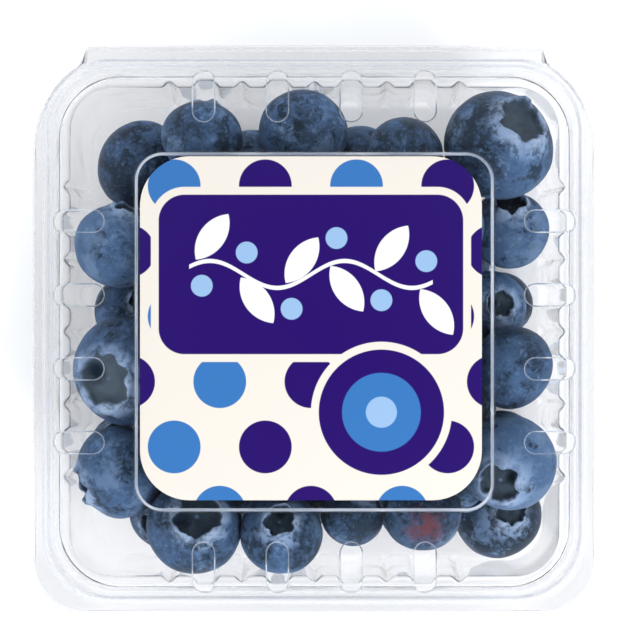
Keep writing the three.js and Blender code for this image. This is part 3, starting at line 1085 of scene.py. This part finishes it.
@dataclass
class HingeFilm:
    """The thin strip that joins the two flanges at the back."""

    half: float = 44.4
    y: float = 55.5
    off: float = 0.03
    low_z: float = 28.19
    high_z: float = 29.1
    bulge: float = 0.45
    thickness: float = 0.16

    def build(self, finish: Material) -> Object:
        """Makes the film.

        Args:
            finish: the clear plastic.
        Returns:
            The dressed film, which bends between the tray and the lid.
        """
        bm = bmesh.new()
        bmesh.ops.create_grid(bm, x_segments=24, y_segments=12, size=1.0)
        middle, reach = (self.low_z + self.high_z) / 2, (self.high_z - self.low_z) / 2
        for vert in bm.verts:
            turn = vert.co.y * math.pi / 2
            y = self.y + self.off + self.bulge * math.cos(turn)
            vert.co = Vector((vert.co.x * self.half, y, middle + reach * math.sin(turn)))
        bmesh.ops.recalc_face_normals(bm, faces=bm.faces)
        bmesh.ops.solidify(bm, geom=bm.faces[:], thickness=self.thickness)
        obj = placed("hinge_film", bm)
        dress(obj, [finish], Slot.TRAY, None)
        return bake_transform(obj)


@dataclass
class Label:
    """The sticker on the lid's raised panel."""

    width: float = 66.0
    height: float = 66.4
    corner: float = 9.6
    x: float = -0.65
    y: float = 0.7
    thickness: float = 0.16
    bottom: float = 38.84
    soften: float = 0.05

    def build(self) -> Object:
        """Makes the label and prints it."""
        shape = Outline(self.width / 2, self.height / 2, self.height / 2, self.corner, self.corner)
        line = shape.line(self.bottom, (-20.0, 0.0, 20.0), 20)
        bm = bmesh.new()
        face = bm.faces.new([bm.verts.new(point) for point in line])
        made = bmesh.ops.extrude_face_region(bm, geom=[face])["geom"]
        top = [v for v in made if isinstance(v, BMVert)]
        bmesh.ops.translate(bm, vec=(0, 0, self.thickness), verts=top)
        rims = [e for e in bm.edges if all(v in top for v in e.verts)]
        softened = {"segments": 2, "profile": 0.5, "affect": "EDGES", "material": -1}
        bmesh.ops.bevel(bm, geom=rims, offset=self.soften, **softened)
        bmesh.ops.translate(bm, vec=(self.x, self.y, 0), verts=bm.verts)
        bmesh.ops.recalc_face_normals(bm, faces=bm.faces)
        obj = placed("label_sheet", bm, 30.0)
        finishes = LabelPrint("label print", self.x, self.y), LabelBack("label back")
        dress(obj, [finish.material() for finish in finishes], Slot.LABEL, Body.LID)
        finish_where(obj, Side.BACK, lambda place, normal: normal.z < -0.5)
        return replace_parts(obj, "label")


# ---- The berries ----


@dataclass
class Berry:
    """One berry: where its middle is, its radius and where its crown points."""

    x: float
    y: float
    z: float
    r: float
    crown: Point
    home: Point | None = None
    shows: bool = False
    crown_size: float = 1.0
    dusted: float = 0.0
    disc: float = 0.3
    pit: float = 0.1

    def middle(self) -> Vector:
        """The berry's middle."""
        return Vector((self.x, self.y, self.z))


@dataclass
class Heap:
    """The punnet's berries, laid by the same rule as the solids they stand for."""

    floor_half: float = 45.5
    mouth_half: float = 48.6
    clear: float = 0.4  # how far a berry stays from the outside of the plastic
    rim_z: float = 28.5
    deck_z: float = 37.4
    settle_steps: int = 260
    sink: float = 0.12
    hold: Point = (0.5, 0.5, 0.1)  # the share of the way home that a held berry takes in a step
    scatter: float = 1.5
    press: float = 0.03
    # the size of the berry under a held one, and how near the next held one may lie, as a share of both radii
    under_share: float = 0.93
    under_least: float = 6.4
    under_most: float = 8.8
    under_near: float = 0.6
    # how finely a berry that shows and one that doesn't are made: steps round, below and above its middle
    fine: tuple[int, int, int] = (72, 11, 10)
    coarse: tuple[int, int, int] = (28, 6, 5)
    # the crown's section from its foot to the middle of its hollow: distance from the axis and height
    crown_profile: tuple = (
        (0.468, 0.790), (0.452, 0.812), (0.436, 0.836), (0.420, 0.858), (0.404, 0.872), (0.388, 0.874),
        (0.372, 0.860), (0.359, 0.832), (0.347, 0.798), (0.334, 0.764), (0.314, 0.742), (0.286, 0.735),
        (0.252, 0.742), (0.200, 0.752), (0.140, 0.753), (0.092, 0.748), (0.050, 0.734), (0.0, 0.722),
    )  # fmt: skip
    # x, y, radius, how far the top is under the lid, the crown's direction, its size, how dusted the berry is
    # and, where they aren't the usual ones, how pale the crown's floor is and the radius of the pit in it
    held: tuple = (
        (-33.5, 33.4, 9.3, 11, (-0.6, 0.5, -0.6), 1.0, -0.15),
        (-21.1, 36.6, 8.2, 0.4, (0.1, 0.9, -0.4), 1.0, 0.05),
        (-12.4, 35.6, 8.6, 13, (0.2, -0.5, -0.8), 1.0, -0.3),
        (-2.8, 37.7, 9.1, 0.3, (0.2, 0.7, -0.6), 1.0, 0.1),
        (9.6, 35.0, 8.2, 12, (-0.2, -0.6, -0.7), 1.0, -0.3),
        (16.9, 34.8, 7.7, 0.8, (-0.3, -0.9, 0.3), 1.0, -0.4),
        (36.2, 36.2, 11.3, 0.2, (0.45, 0.48, 0.75), 1.14, 0.05, 0.55, 0.0),
        (37.9, 19.3, 8.4, 12.6, (0, 0.75, 0.65), 1.0, 1.6),
        (35.5, 5.3, 7.2, 9.2, (0.25, 0.05, 0.97), 1.0, 0.6, 0.35, 0.13),
        (38.2, -7.2, 8.5, 0.5, (0.6, -0.5, -0.6), 1.0, 0.0),
        (36.8, -24, 9.9, 0.3, (-0.26, -0.46, 0.85), 1.1, 1.9, 0.45, 0.13),
        (36.8, -37.4, 9.2, 14.5, (0.3, 0.16, 0.94), 0.9, -0.5, 0.4, 0.15),
        (20.3, -34.8, 7.9, 1.8, (0.1, -0.5, -0.85), 1.0, -0.1),
        (7, -36.4, 6.4, 2.5, (0.3, 0.9, 0.3), 1.0, -0.4),
        (-6.8, -39, 8.3, 0.5, (-0.05, 0.44, 0.9), 1.0, 0.35, 0.3, 0.12),
        (-23.1, -37.2, 9.6, 0.3, (0.1, 0.35, 0.93), 1.25, 0.2, 0.3, 0.14),
        (-31.2, -33.6, 8.1, 16, (-0.35, -0.35, 0.87), 1.0, -0.2, 0.2, 0.12),
        (-37.4, -26.8, 9.5, 1.5, (-0.9, -0.35, 0.2), 1.0, 0.5, 0.4, 0.1),
        (-38.0, -8.1, 11.1, 0.1, (-0.44, -0.2, 0.87), 1.3, 0.3, 0.85, 0.19),
        (-36.5, 4.6, 7.4, 15, (0.5, 0.3, 0.8), 1.0, 0.0),
        (-38, 16.9, 9.2, 0.5, (0.3, 0.9, 0.2), 1.0, 1.2),
    )
    # deeper berries that show only in the gaps: x, y, radius and how far the top is under the lid
    low: tuple = (
        (32.5, -15.6, 7.6, 17.0),
        (32.8, 12.6, 7.4, 19.0),
        (-15.0, -31.5, 7.8, 17.5),
        (0.8, -31.0, 7.8, 16.5),
        (14.0, -30.0, 7.6, 16.5),
        (29.0, -30.5, 7.6, 18.0),
    )
    # the berry with a ruddy patch, and the way to the patch from its middle
    ruddy: tuple[int, Point] = (12, (0.04, -0.34, 0.94))
    core_half: float = 28.0
    core_low: float = 4.0
    core_high: float = 20.0
    core_cuts: int = 17
    core_lump: Span = (2.2, 0.12)
    core_smoothings: int = 6
    # rows and columns, spacing, height, radius and spread of the radius
    layers: tuple = ((3, 18.4, 9.4, 8.4, 0.8), (3, 16.5, 19, 7.6, 0.6), (3, 18.2, 29, 8.5, 0.8))

    def _room(self, z: float) -> float:
        """Half the room between the walls at a height."""
        return self.floor_half + (self.mouth_half - self.floor_half) * step(z, 0, self.rim_z) - self.clear

    def _loose(self) -> list[Berry]:
        """The berries before they settle: the held ones, those under them, and the rest."""
        state = 20

        def draw(size: float) -> float:
            """A number within a size either side of 0, the same each time."""
            nonlocal state
            state = (state * 16807) % 2147483647
            return (state / 2147483647 * 2 - 1) * size

        ceiling = self.deck_z - self.clear
        held = []
        for x, y, r, sunk, crown, *look in self.held:
            z = ceiling - sunk - r
            held.append(Berry(x, y, z, r, crown, (x, y, z), True, *look))
        for x, y, r, sunk in self.low:
            z = ceiling - sunk - r
            held.append(Berry(x, y, z, r, (draw(1), draw(1), draw(1)), (x, y, z)))
        under = []
        for berry in held[: len(self.held)]:
            room = berry.z - berry.r - self.clear
            size = min(self.under_share * berry.r, room / 2, self.under_most)
            home = Vector((berry.x, berry.y, self.clear + size))
            near = any((home - other.middle()).length < self.under_near * (size + other.r) for other in held)
            if size >= self.under_least and not near:
                under.append(Berry(*home, size, (draw(1), draw(1), draw(1)), tuple(home)))
        loose = []
        for rows, spacing, z, radius, spread in self.layers:
            for place in range(rows * rows):
                x = ((place % rows) - (rows - 1) / 2) * spacing + draw(self.scatter)
                y = (place // rows - (rows - 1) / 2) * spacing + draw(self.scatter)
                r = radius + draw(spread)
                loose.append(Berry(x, y, z, r, (draw(1), draw(1), draw(1))))
        return [*held, *under, *loose]

    def settled(self) -> list[Berry]:
        """Lets the berries sink, push each other apart and stay inside the punnet."""
        berries = self._loose()
        place = np.array([[b.x, b.y, b.z] for b in berries])
        radius = np.array([b.r for b in berries])
        fixed = np.array([b.home is not None for b in berries])
        home = np.array([b.home or (0.0, 0.0, 0.0) for b in berries])
        count, hold = len(berries), np.array(self.hold)
        for _ in range(self.settle_steps):
            place[~fixed, 2] -= self.sink
            place[fixed] += (home[fixed] - place[fixed]) * hold
            for i in range(count - 1):
                for j in range(i + 1, count):
                    away = place[j] - place[i]
                    total = radius[i] + radius[j]
                    square = away @ away
                    if square < total * total:
                        apart = math.sqrt(square)
                        push = 0.5 * (total - apart) / apart * away
                        place[i] -= push
                        place[j] += push
            for i in range(count):
                low, high = self.clear + radius[i], self.deck_z - self.clear - radius[i]
                z = min(max(place[i, 2], low), high)
                room = self._room(z) - radius[i]
                place[i] = (min(max(place[i, 0], -room), room), min(max(place[i, 1], -room), room), z)
        for berry, (x, y, z) in zip(berries, place):
            berry.x, berry.y, berry.z = float(x), float(y), float(z)
        return berries

    def _unit(self, detail: tuple[int, int, int]) -> bpy.types.Mesh:
        """A berry of unit radius, spun from its profile, crown up.

        Args:
            detail: the steps round it, below its middle and above it.
        Returns:
            The mesh.
        """
        around, below, above = detail
        width, middle, depth, height, shoulder = 0.995, 0.05, 0.95, 0.845, 60
        profile = [(0.0, middle - depth)]
        for angle in (math.radians(-90 + k * 90 / (below + 1)) for k in range(1, below + 1)):
            profile.append((width * math.cos(angle), middle + depth * math.sin(angle)))
        for angle in (math.radians(k * shoulder / (above - 1)) for k in range(above)):
            profile.append((width * math.cos(angle), middle + height * math.sin(angle)))
        bm = bmesh.new()
        verts = [bm.verts.new((r, 0.0, z)) for r, z in (*profile, *self.crown_profile)]
        edges = [bm.edges.new(pair) for pair in zip(verts, verts[1:])]
        turn = {"cent": (0, 0, 0), "axis": (0, 0, 1), "angle": 2 * math.pi}
        bmesh.ops.spin(bm, geom=[*verts, *edges], **turn, steps=around, use_merge=True)
        bmesh.ops.remove_doubles(bm, verts=bm.verts, dist=1e-5)
        bmesh.ops.recalc_face_normals(bm, faces=bm.faces)
        mesh = bpy.data.meshes.new("unit_berry")
        bm.to_mesh(mesh)
        bm.free()
        return mesh

    @staticmethod
    def _shaped(point: Vector, seed: float, berry: Berry) -> tuple[Vector, float, float, float, float]:
        """Gives a point of the unit berry its berry's own lumps and its crown's lobes.

        Args:
            point: the point on the unit berry.
            seed: a number of the berry's own.
            berry: the berry.
        Returns:
            The moved point, how near it is to the crown, how far it is inside it, how far on a lobe, and how
            deep in the pit of its floor.
        """
        across = math.hypot(point.x, point.y)
        around = math.atan2(point.y, point.x)
        near = step(point.z, 0.35, 0.80)
        moved = point.copy()
        inside = crest = deep = 0.0
        if point.z > 0.5 and across > 1e-6:
            way = Vector((math.cos(around), math.sin(around), 0.0))
            uneven = noise.noise(way * 1.3 + Vector((seed, 0, seed * 2)))
            lean = noise.noise(way * 1.9 + Vector((0, seed * 3, seed)))
            ragged = noise.noise(way * 5.5 + Vector((seed * 2, seed, 0)))
            lobe = (0.5 + 0.5 * math.cos(5 * around + seed * 3 + 1.6 * uneven)) ** 0.6
            rim = step(across, 0.335, 0.38) * step(across, 0.56, 0.43)
            wall = step(across, 0.24, 0.34) * step(across, 0.44, 0.39)
            inside = step(across, 0.378, 0.353)
            stretch = 1 + (berry.crown_size - 1) * step(across, 0.75, 0.45)
            stretch *= 1 + wall * (0.10 * (1 - lobe) + lobe * (0.32 * lean - 0.06) + 0.09 * ragged)
            moved.x *= stretch
            moved.y *= stretch
            moved.z += rim * (lobe * (0.055 + 0.09 * uneven + 0.03 * ragged) - 0.05 * (1 - lobe))
            turn, off = seed * 1.157, 0.23
            apart = math.hypot(point.x - off * math.cos(turn), point.y - off * math.sin(turn))
            deep = inside * step(apart / max(berry.pit, 1e-6), 1.25, 0.25)
            moved.z += inside * 0.025 * noise.noise(point * 6 + Vector((seed, seed, 0))) - 0.13 * deep
            crest = rim * (0.35 + 0.65 * lobe)
        lump = noise.noise(point * 1.1 + Vector((seed * 7, seed * 3, seed)))
        fine = noise.noise(point * 3.2 + Vector((seed, seed * 5, seed * 2)))
        moved *= 1 - 0.018 + 0.03 * lump * (1 - near * 0.5) + 0.008 * fine
        return moved, near, inside, crest, deep

    def build(self, finish: Material) -> Object:
        """Makes the heap's berries.

        Args:
            finish: the berries' skin.
        Returns:
            The dressed berries.
        """
        berries = self.settled()
        units = {True: self._unit(self.fine), False: self._unit(self.coarse)}
        bm = bmesh.new()
        names = ("tone", "crown", "hollow", "lobe", "dusted", "red", "disc")
        layers = [bm.verts.layers.float.new(name) for name in names]
        for number, berry in enumerate(berries):
            seed, tone = 0.37 + number * 1.618, (number * 0.618034) % 1.0
            middle = berry.middle()
            turn = Vector((0, 0, 1)).rotation_difference(Vector(berry.crown).normalized()).to_matrix()
            flats = self._flats(berry, berries)
            patch = Vector(self.ruddy[1]).normalized() if number == self.ruddy[0] else None
            first = len(bm.verts)
            bm.from_mesh(units[berry.shows])
            bm.verts.ensure_lookup_table()
            for vert in bm.verts[first:]:
                shaped, near, inside, crest, deep = self._shaped(vert.co, seed, berry)
                place = middle + turn @ (shaped * berry.r)
                way = turn @ Vector((vert.co.x, vert.co.y, 0.0))
                lit = (0.5 * way.x - way.y) / max(way.length, 1e-6)  # how far a point of the crown faces the key lamp at the front right
                # Painted highlight: the pale ring round the crown and the pale lobe crests are made paler on
                # the side that faces the key lamp and dimmer on the far side.
                near *= 0.97 + 0.12 * lit
                crest *= 0.80 + 0.32 * lit
                red = max((place - middle).normalized().dot(patch) * 4.0 - 3.0, 0.0) if patch else 0.0
                for normal, reach in flats:
                    over = (place - middle).dot(normal) - reach
                    if over > 0:
                        place -= normal * over
                vert.co = place
                # The crown floor's paleness falls to nothing in its pit, which darkens it: painted shade in
                # the dimple over the calyx's darker middle.
                values = (tone, near, inside, crest, berry.dusted, red, berry.disc * (1.0 - deep))
                for layer, value in zip(layers, values):
                    vert[layer] = value
        for unit in units.values():
            bpy.data.meshes.remove(unit)
        obj = placed("blueberries", bm, 70.0)
        dress(obj, [finish], Slot.BERRY, Body.TRAY)
        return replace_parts(obj, "berries")

    def build_core(self, finish: Material) -> Object:
        """Makes the dark lumpy middle that the berries lie round.

        Args:
            finish: the berries' skin.
        Returns:
            The dressed core.
        """
        bm = bmesh.new()
        bmesh.ops.create_cube(bm, size=2.0)
        bmesh.ops.subdivide_edges(bm, edges=bm.edges[:], cuts=self.core_cuts, use_grid_fill=True)
        half, rise = self.core_half, (self.core_high - self.core_low) / 2
        bmesh.ops.scale(bm, vec=(half, half, rise), verts=bm.verts)
        bmesh.ops.translate(bm, vec=(0, 0, self.core_low + rise), verts=bm.verts)
        axes = dict.fromkeys(("use_axis_x", "use_axis_y", "use_axis_z"), True)
        for _ in range(self.core_smoothings):
            bmesh.ops.smooth_vert(bm, verts=bm.verts, factor=0.5, **axes)
        bm.normal_update()
        lump, scale = self.core_lump
        for vert in bm.verts:
            vert.co += vert.normal * lump * noise.noise(vert.co * scale)
        obj = placed("heap_core", bm, 70.0)
        dress(obj, [finish], Slot.BERRY, Body.TRAY)
        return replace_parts(obj, "berries")

    def _flats(self, berry: Berry, berries: Sequence[Berry]) -> list[tuple[Vector, float]]:
        """The flats where a berry presses on its neighbours: each one's normal and its distance."""
        flats = []
        for other in berries:
            away = other.middle() - berry.middle()
            apart = away.length
            if other is not berry and apart < berry.r + other.r:
                reach = (berry.r**2 - other.r**2 + apart**2) / (2 * apart)
                flats.append((away.normalized(), reach - self.press))
        return flats


# ---- The studio ----


@dataclass(frozen=True)
class PaleFloor(Finish):
    """A pale floor that glows a little all over; under the punnet the glow is raised and lowered by places as
    painted light and painted shade.
    """

    low: Colour = (0.88, 0.885, 0.89)
    high: Colour = (0.91, 0.913, 0.916)
    grain: Cloud = (30, 3.0, 0.5)
    glow: float = 0.205
    # painted light and shade under the punnet: how much more it glows inside the tray's wall at the back left
    # and at the front right, and how much more in the band beyond the wall at the left and at the right
    inner_glow: Span = (-0.10, -0.04)
    band_glow: Span = (-0.06, 0.28)
    glow_reach: float = 0.06
    glow_straight: float = 0.0375
    inner_end: float = 0.0462
    band_end: float = 0.0502
    glow_fade: float = 0.0008
    # painted shadow: how much less it glows under the front of the rim and under the rim's front corners
    rim_shade: Span = (-0.09, -0.20)
    corner_from: Span = (0.040, 0.050)
    front_from: Span = (-0.05, 0.0)
    shade_straight: float = 0.0485
    shade_fade: Span = (0.0575, 0.0584)

    def shader(self, graph: Graph) -> Socket:
        """The finish's shader."""
        place = graph.place()
        x, y, _ = graph.split(place)
        return graph.principled(
            Base_Color=graph.mix(graph.noise(place, self.grain), self.low, self.high),
            Roughness=0.8,
            Specular_IOR_Level=0.1,
            Emission_Color=(1.0, 1.0, 1.0),
            # the glow, raised and lowered under the punnet: painted light and painted shade
            Emission_Strength=graph.add(self._painted_light_and_shade(graph, x, y), self.glow),
        )

    def _painted_light_and_shade(self, graph: Graph, x: Socket, y: Socket) -> Socket:
        """The painted light and shade under the punnet: how much more or less the floor glows at a place
        there.
        """
        ramp, mul, reach = graph.ramp, graph.mul, self.glow_reach
        inner = ramp(graph.sub(x, y), -reach, reach, *self.inner_glow)
        band = ramp(x, -reach, reach, *self.band_glow)
        # how far out a place is, as the half side of a square with rounded corners through it
        straights = (self.glow_straight, self.shade_straight)
        far, outer = (graph.add(graph.past(x, y, straight, straight), straight) for straight in straights)
        inside, within = (graph.within(far, end, self.glow_fade) for end in (self.inner_end, self.band_end))
        under = graph.add(mul(inner, inside), mul(band, graph.sub(within, inside)))
        corner = graph.math("MINIMUM", graph.math("ABSOLUTE", x), graph.math("ABSOLUTE", y))
        depth = mul(ramp(corner, *self.corner_from, *self.rim_shade), ramp(y, *self.front_from, 1.0, 0.0))
        rim = mul(ramp(outer, *self.shade_fade, 1.0, 0.0), graph.sub(1.0, within))
        return graph.add(under, mul(rim, depth))


@dataclass
class Studio:
    """A pale floor, soft light from all round with a brighter front right, and the camera above."""

    camera: Point = (1.1, 2.3, 628.5)
    sensor: float = 36.0
    scale_at_rim: float = 5.09
    rim_z: float = 28.5
    frame_px: float = 640.0
    sky: Colour = (0.955, 0.975, 1.0)
    sky_turn: Span = (0.80, 0.975)  # the height at which the surround starts to dim and where it stops
    sky_glow: Span = (1.25, 0.14)
    lamps: tuple = (
        ("key", -50, 42, 0.75, (0.30, 0.12), 2.5),
        ("fill", 150, 38, 0.80, (0.30, 0.10), 0.5),
        ("side", 50, 30, 0.85, (0.30, 0.08), 0.6),
        ("low", 215, 30, 0.85, (0.30, 0.08), 0.6),
    )

    def build(self) -> None:
        """Sets the whole studio up."""
        self._camera()
        self._world()
        self._lamps()
        self._floor()
        scene = bpy.context.scene
        scene.view_settings.view_transform = "Standard"
        scene.cycles.max_bounces = 24
        scene.cycles.transmission_bounces = 20
        scene.cycles.transparent_max_bounces = 32
        scene.cycles.glossy_bounces = 8

    @staticmethod
    def _link(name: str, data: bpy.types.ID) -> Object:
        """A new object of some data in the scene."""
        obj = bpy.data.objects.new(name, data)
        bpy.context.scene.collection.objects.link(obj)
        return obj

    def _camera(self) -> None:
        """The camera, straight above."""
        data = bpy.data.cameras.new("camera")
        data.sensor_width = self.sensor
        data.lens = self.sensor * self.scale_at_rim * (self.camera[2] - self.rim_z) / self.frame_px
        data.clip_start = 0.01
        camera = self._link("camera", data)
        camera.location = tuple(part * MM for part in self.camera)
        bpy.context.scene.camera = camera

    def _world(self) -> None:
        """A bright surround that dims overhead."""
        world = bpy.data.worlds.new("surround")
        world.use_nodes = True
        world.node_tree.nodes.clear()
        graph = Graph(world.node_tree)
        z = graph.split(graph.node("ShaderNodeTexCoord").outputs["Generated"])["Z"]
        given = {"Color": self.sky, "Strength": graph.ramp(z, *self.sky_turn, *self.sky_glow)}
        surface = graph.node("ShaderNodeOutputWorld").inputs["Surface"]
        graph.feed(surface, graph.fed("ShaderNodeBackground", "Background", given))
        bpy.context.scene.world = world

    def _lamps(self) -> None:
        """The soft boxes."""
        for name, azimuth, height, distance, size, power in self.lamps:
            data = bpy.data.lights.new(name, "AREA")
            data.shape = "RECTANGLE"
            data.size, data.size_y = size
            data.energy = power
            lamp = self._link(name, data)
            turn, up = math.radians(azimuth), math.radians(height)
            away = Vector((math.cos(turn) * math.cos(up), math.sin(turn) * math.cos(up), math.sin(up)))
            lamp.location = away * distance
            lamp.rotation_euler = away.to_track_quat("Z", "Y").to_euler()
            lamp.visible_glossy = False

    def _floor(self) -> None:
        """A wide pale floor."""
        bm = bmesh.new()
        bmesh.ops.create_circle(bm, cap_ends=True, radius=6000.0, segments=96)
        bmesh.ops.translate(bm, vec=(0, 0, -0.02), verts=bm.verts)
        obj = placed("floor", bm)
        obj.data.materials.append(PaleFloor("pale floor").material())
        obj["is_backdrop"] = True


def main() -> None:
    """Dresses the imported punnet."""
    logging.basicConfig(level=logging.INFO, format="%(name)s: %(message)s")
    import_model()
    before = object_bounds()
    Studio().build()
    clear_tray = ClearSheet("clear tray plastic", (0.885, 0.882, 0.886)).material()
    # the bent tray plastic's pale share is a painted highlight
    Tray().build(clear_tray, ClearSheet.bend_highlight("bent tray plastic").material())
    Lid().build(
        ClearSheet("clear lid plastic", (0.950, 0.948, 0.949)).material(),
        # the bent lid plastic's pale share is a painted highlight
        ClearSheet.bend_highlight("bent lid plastic").material(),
        # pale bluish white on the panel's wall: painted highlight
        BentSheet("lid plastic with painted highlight", (0.72, 0.80, 0.93), 0.22, 0.45).material(),
        # pale on the vents' cut edges: painted highlight
        BentSheet("cut lid plastic", (0.72, 0.78, 0.86), 0.25, 0.80).material(),
        # darker grey on the rolled and creased edges: painted shade
        ClearSheet("rolled lid plastic", (0.64, 0.66, 0.69), 0.14, 0.76).material(),
    )
    HingeFilm().build(clear_tray)
    Label().build()
    skin = BerrySkin("berry skin").material()
    heap = Heap()
    heap.build(skin)
    heap.build_core(skin)
    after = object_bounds()
    [[list(map(float, corner)) for corner in box] for box in (before, after)]


if __name__ == "__main__":
    main()
